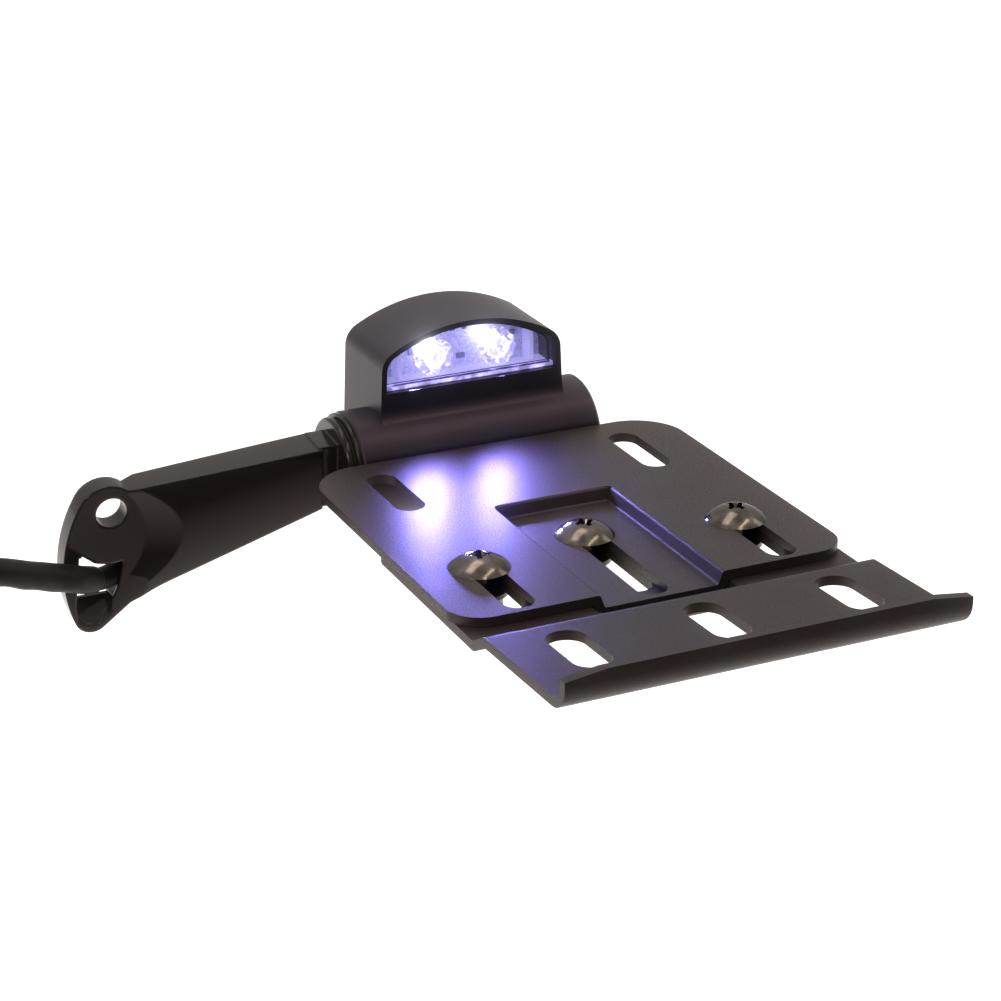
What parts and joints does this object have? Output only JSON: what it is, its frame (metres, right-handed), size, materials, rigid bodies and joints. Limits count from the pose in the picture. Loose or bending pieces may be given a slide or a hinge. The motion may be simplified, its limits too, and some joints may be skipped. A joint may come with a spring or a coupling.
{
  "type": "side mount license plate holder",
  "caption": "Cast side arm with a bolt ear and a cable window, a lamp barrel that swivels on it, and two slotted pressed plates that slide.",
  "frame": {"origin": "middle of the bolt hole in the arm's ear, on the pivot's axis", "axes": "+X along the pivot from the ear to the barrel, +Y to the rear, away from the plates' lip, +Z out of the plates' top faces, where the lamp stands"},
  "size_m": [0.2861, 0.1862, 0.1423],
  "materials": {
    "mount_arm": "gloss black enamel on a casting",
    "seal_ring": "matt rubber",
    "pivot_washer": "gloss black enamel",
    "barrel_housing": "satin black powder coat",
    "lock_screws": "blackened steel",
    "lens_gasket": "matt rubber",
    "lamp_lens": "clear polished moulding",
    "light_insert": "clear moulding",
    "led_optics": "clear moulding with a scalloped rim",
    "led_chips": "lit surface",
    "circuit_board": "white solder mask",
    "board_parts": "small electronic parts",
    "lamp_lead": "matt insulation",
    "main_plate": "fine textured black powder coat",
    "plate_studs": "zinc plated",
    "stud_washers": "zinc plated",
    "stud_nuts": "zinc plated",
    "lower_plate": "fine textured black powder coat",
    "clamp_screws": "dark polished nickel",
    "clamp_nuts": "dark polished nickel",
    "cable_sleeve": "satin PVC sleeve",
    "cable_coil": "satin PVC sleeve",
    "cable_tail": "satin PVC sleeve",
    "lead_wires": "thin insulated wires",
    "cable_tie": "nylon"
  },
  "bodies": {
    "arm": {"mount_arm": "mount_arm", "seal_ring": "seal_ring", "pivot_washer": "pivot_washer", "cable_sleeve": "cable_sleeve", "cable_coil": "cable_coil", "cable_tail": "cable_tail", "lead_wires": "lead_wires", "cable_tie": "cable_tie"},
    "lamp_head": {"barrel_housing": "barrel_housing", "lock_screws": "lock_screws", "lens_gasket": "lens_gasket", "lamp_lens": "lamp_lens", "light_insert": "light_insert", "led_optics": "led_optics", "led_chips": "led_chips", "circuit_board": "circuit_board", "board_parts": "board_parts", "lamp_lead": "lamp_lead", "main_plate": "main_plate", "plate_studs": "plate_studs", "stud_washers": "stud_washers", "stud_nuts": "stud_nuts"},
    "sliding_plate": {"lower_plate": "lower_plate", "clamp_screws": "clamp_screws", "clamp_nuts": "clamp_nuts"}
  },
  "joints": [
    {"name": "plate_swivel", "type": "hinge", "parent": "arm", "child": "lamp_head", "pos_m": [0.08, 0, 0], "axis": [1, 0, 0], "range_deg": [-60, 60]},
    {"name": "lower_plate_slide", "type": "slide", "parent": "lamp_head", "child": "sliding_plate", "axis": [0, -1, 0], "range_m": [0, 0.021]}
  ]
}
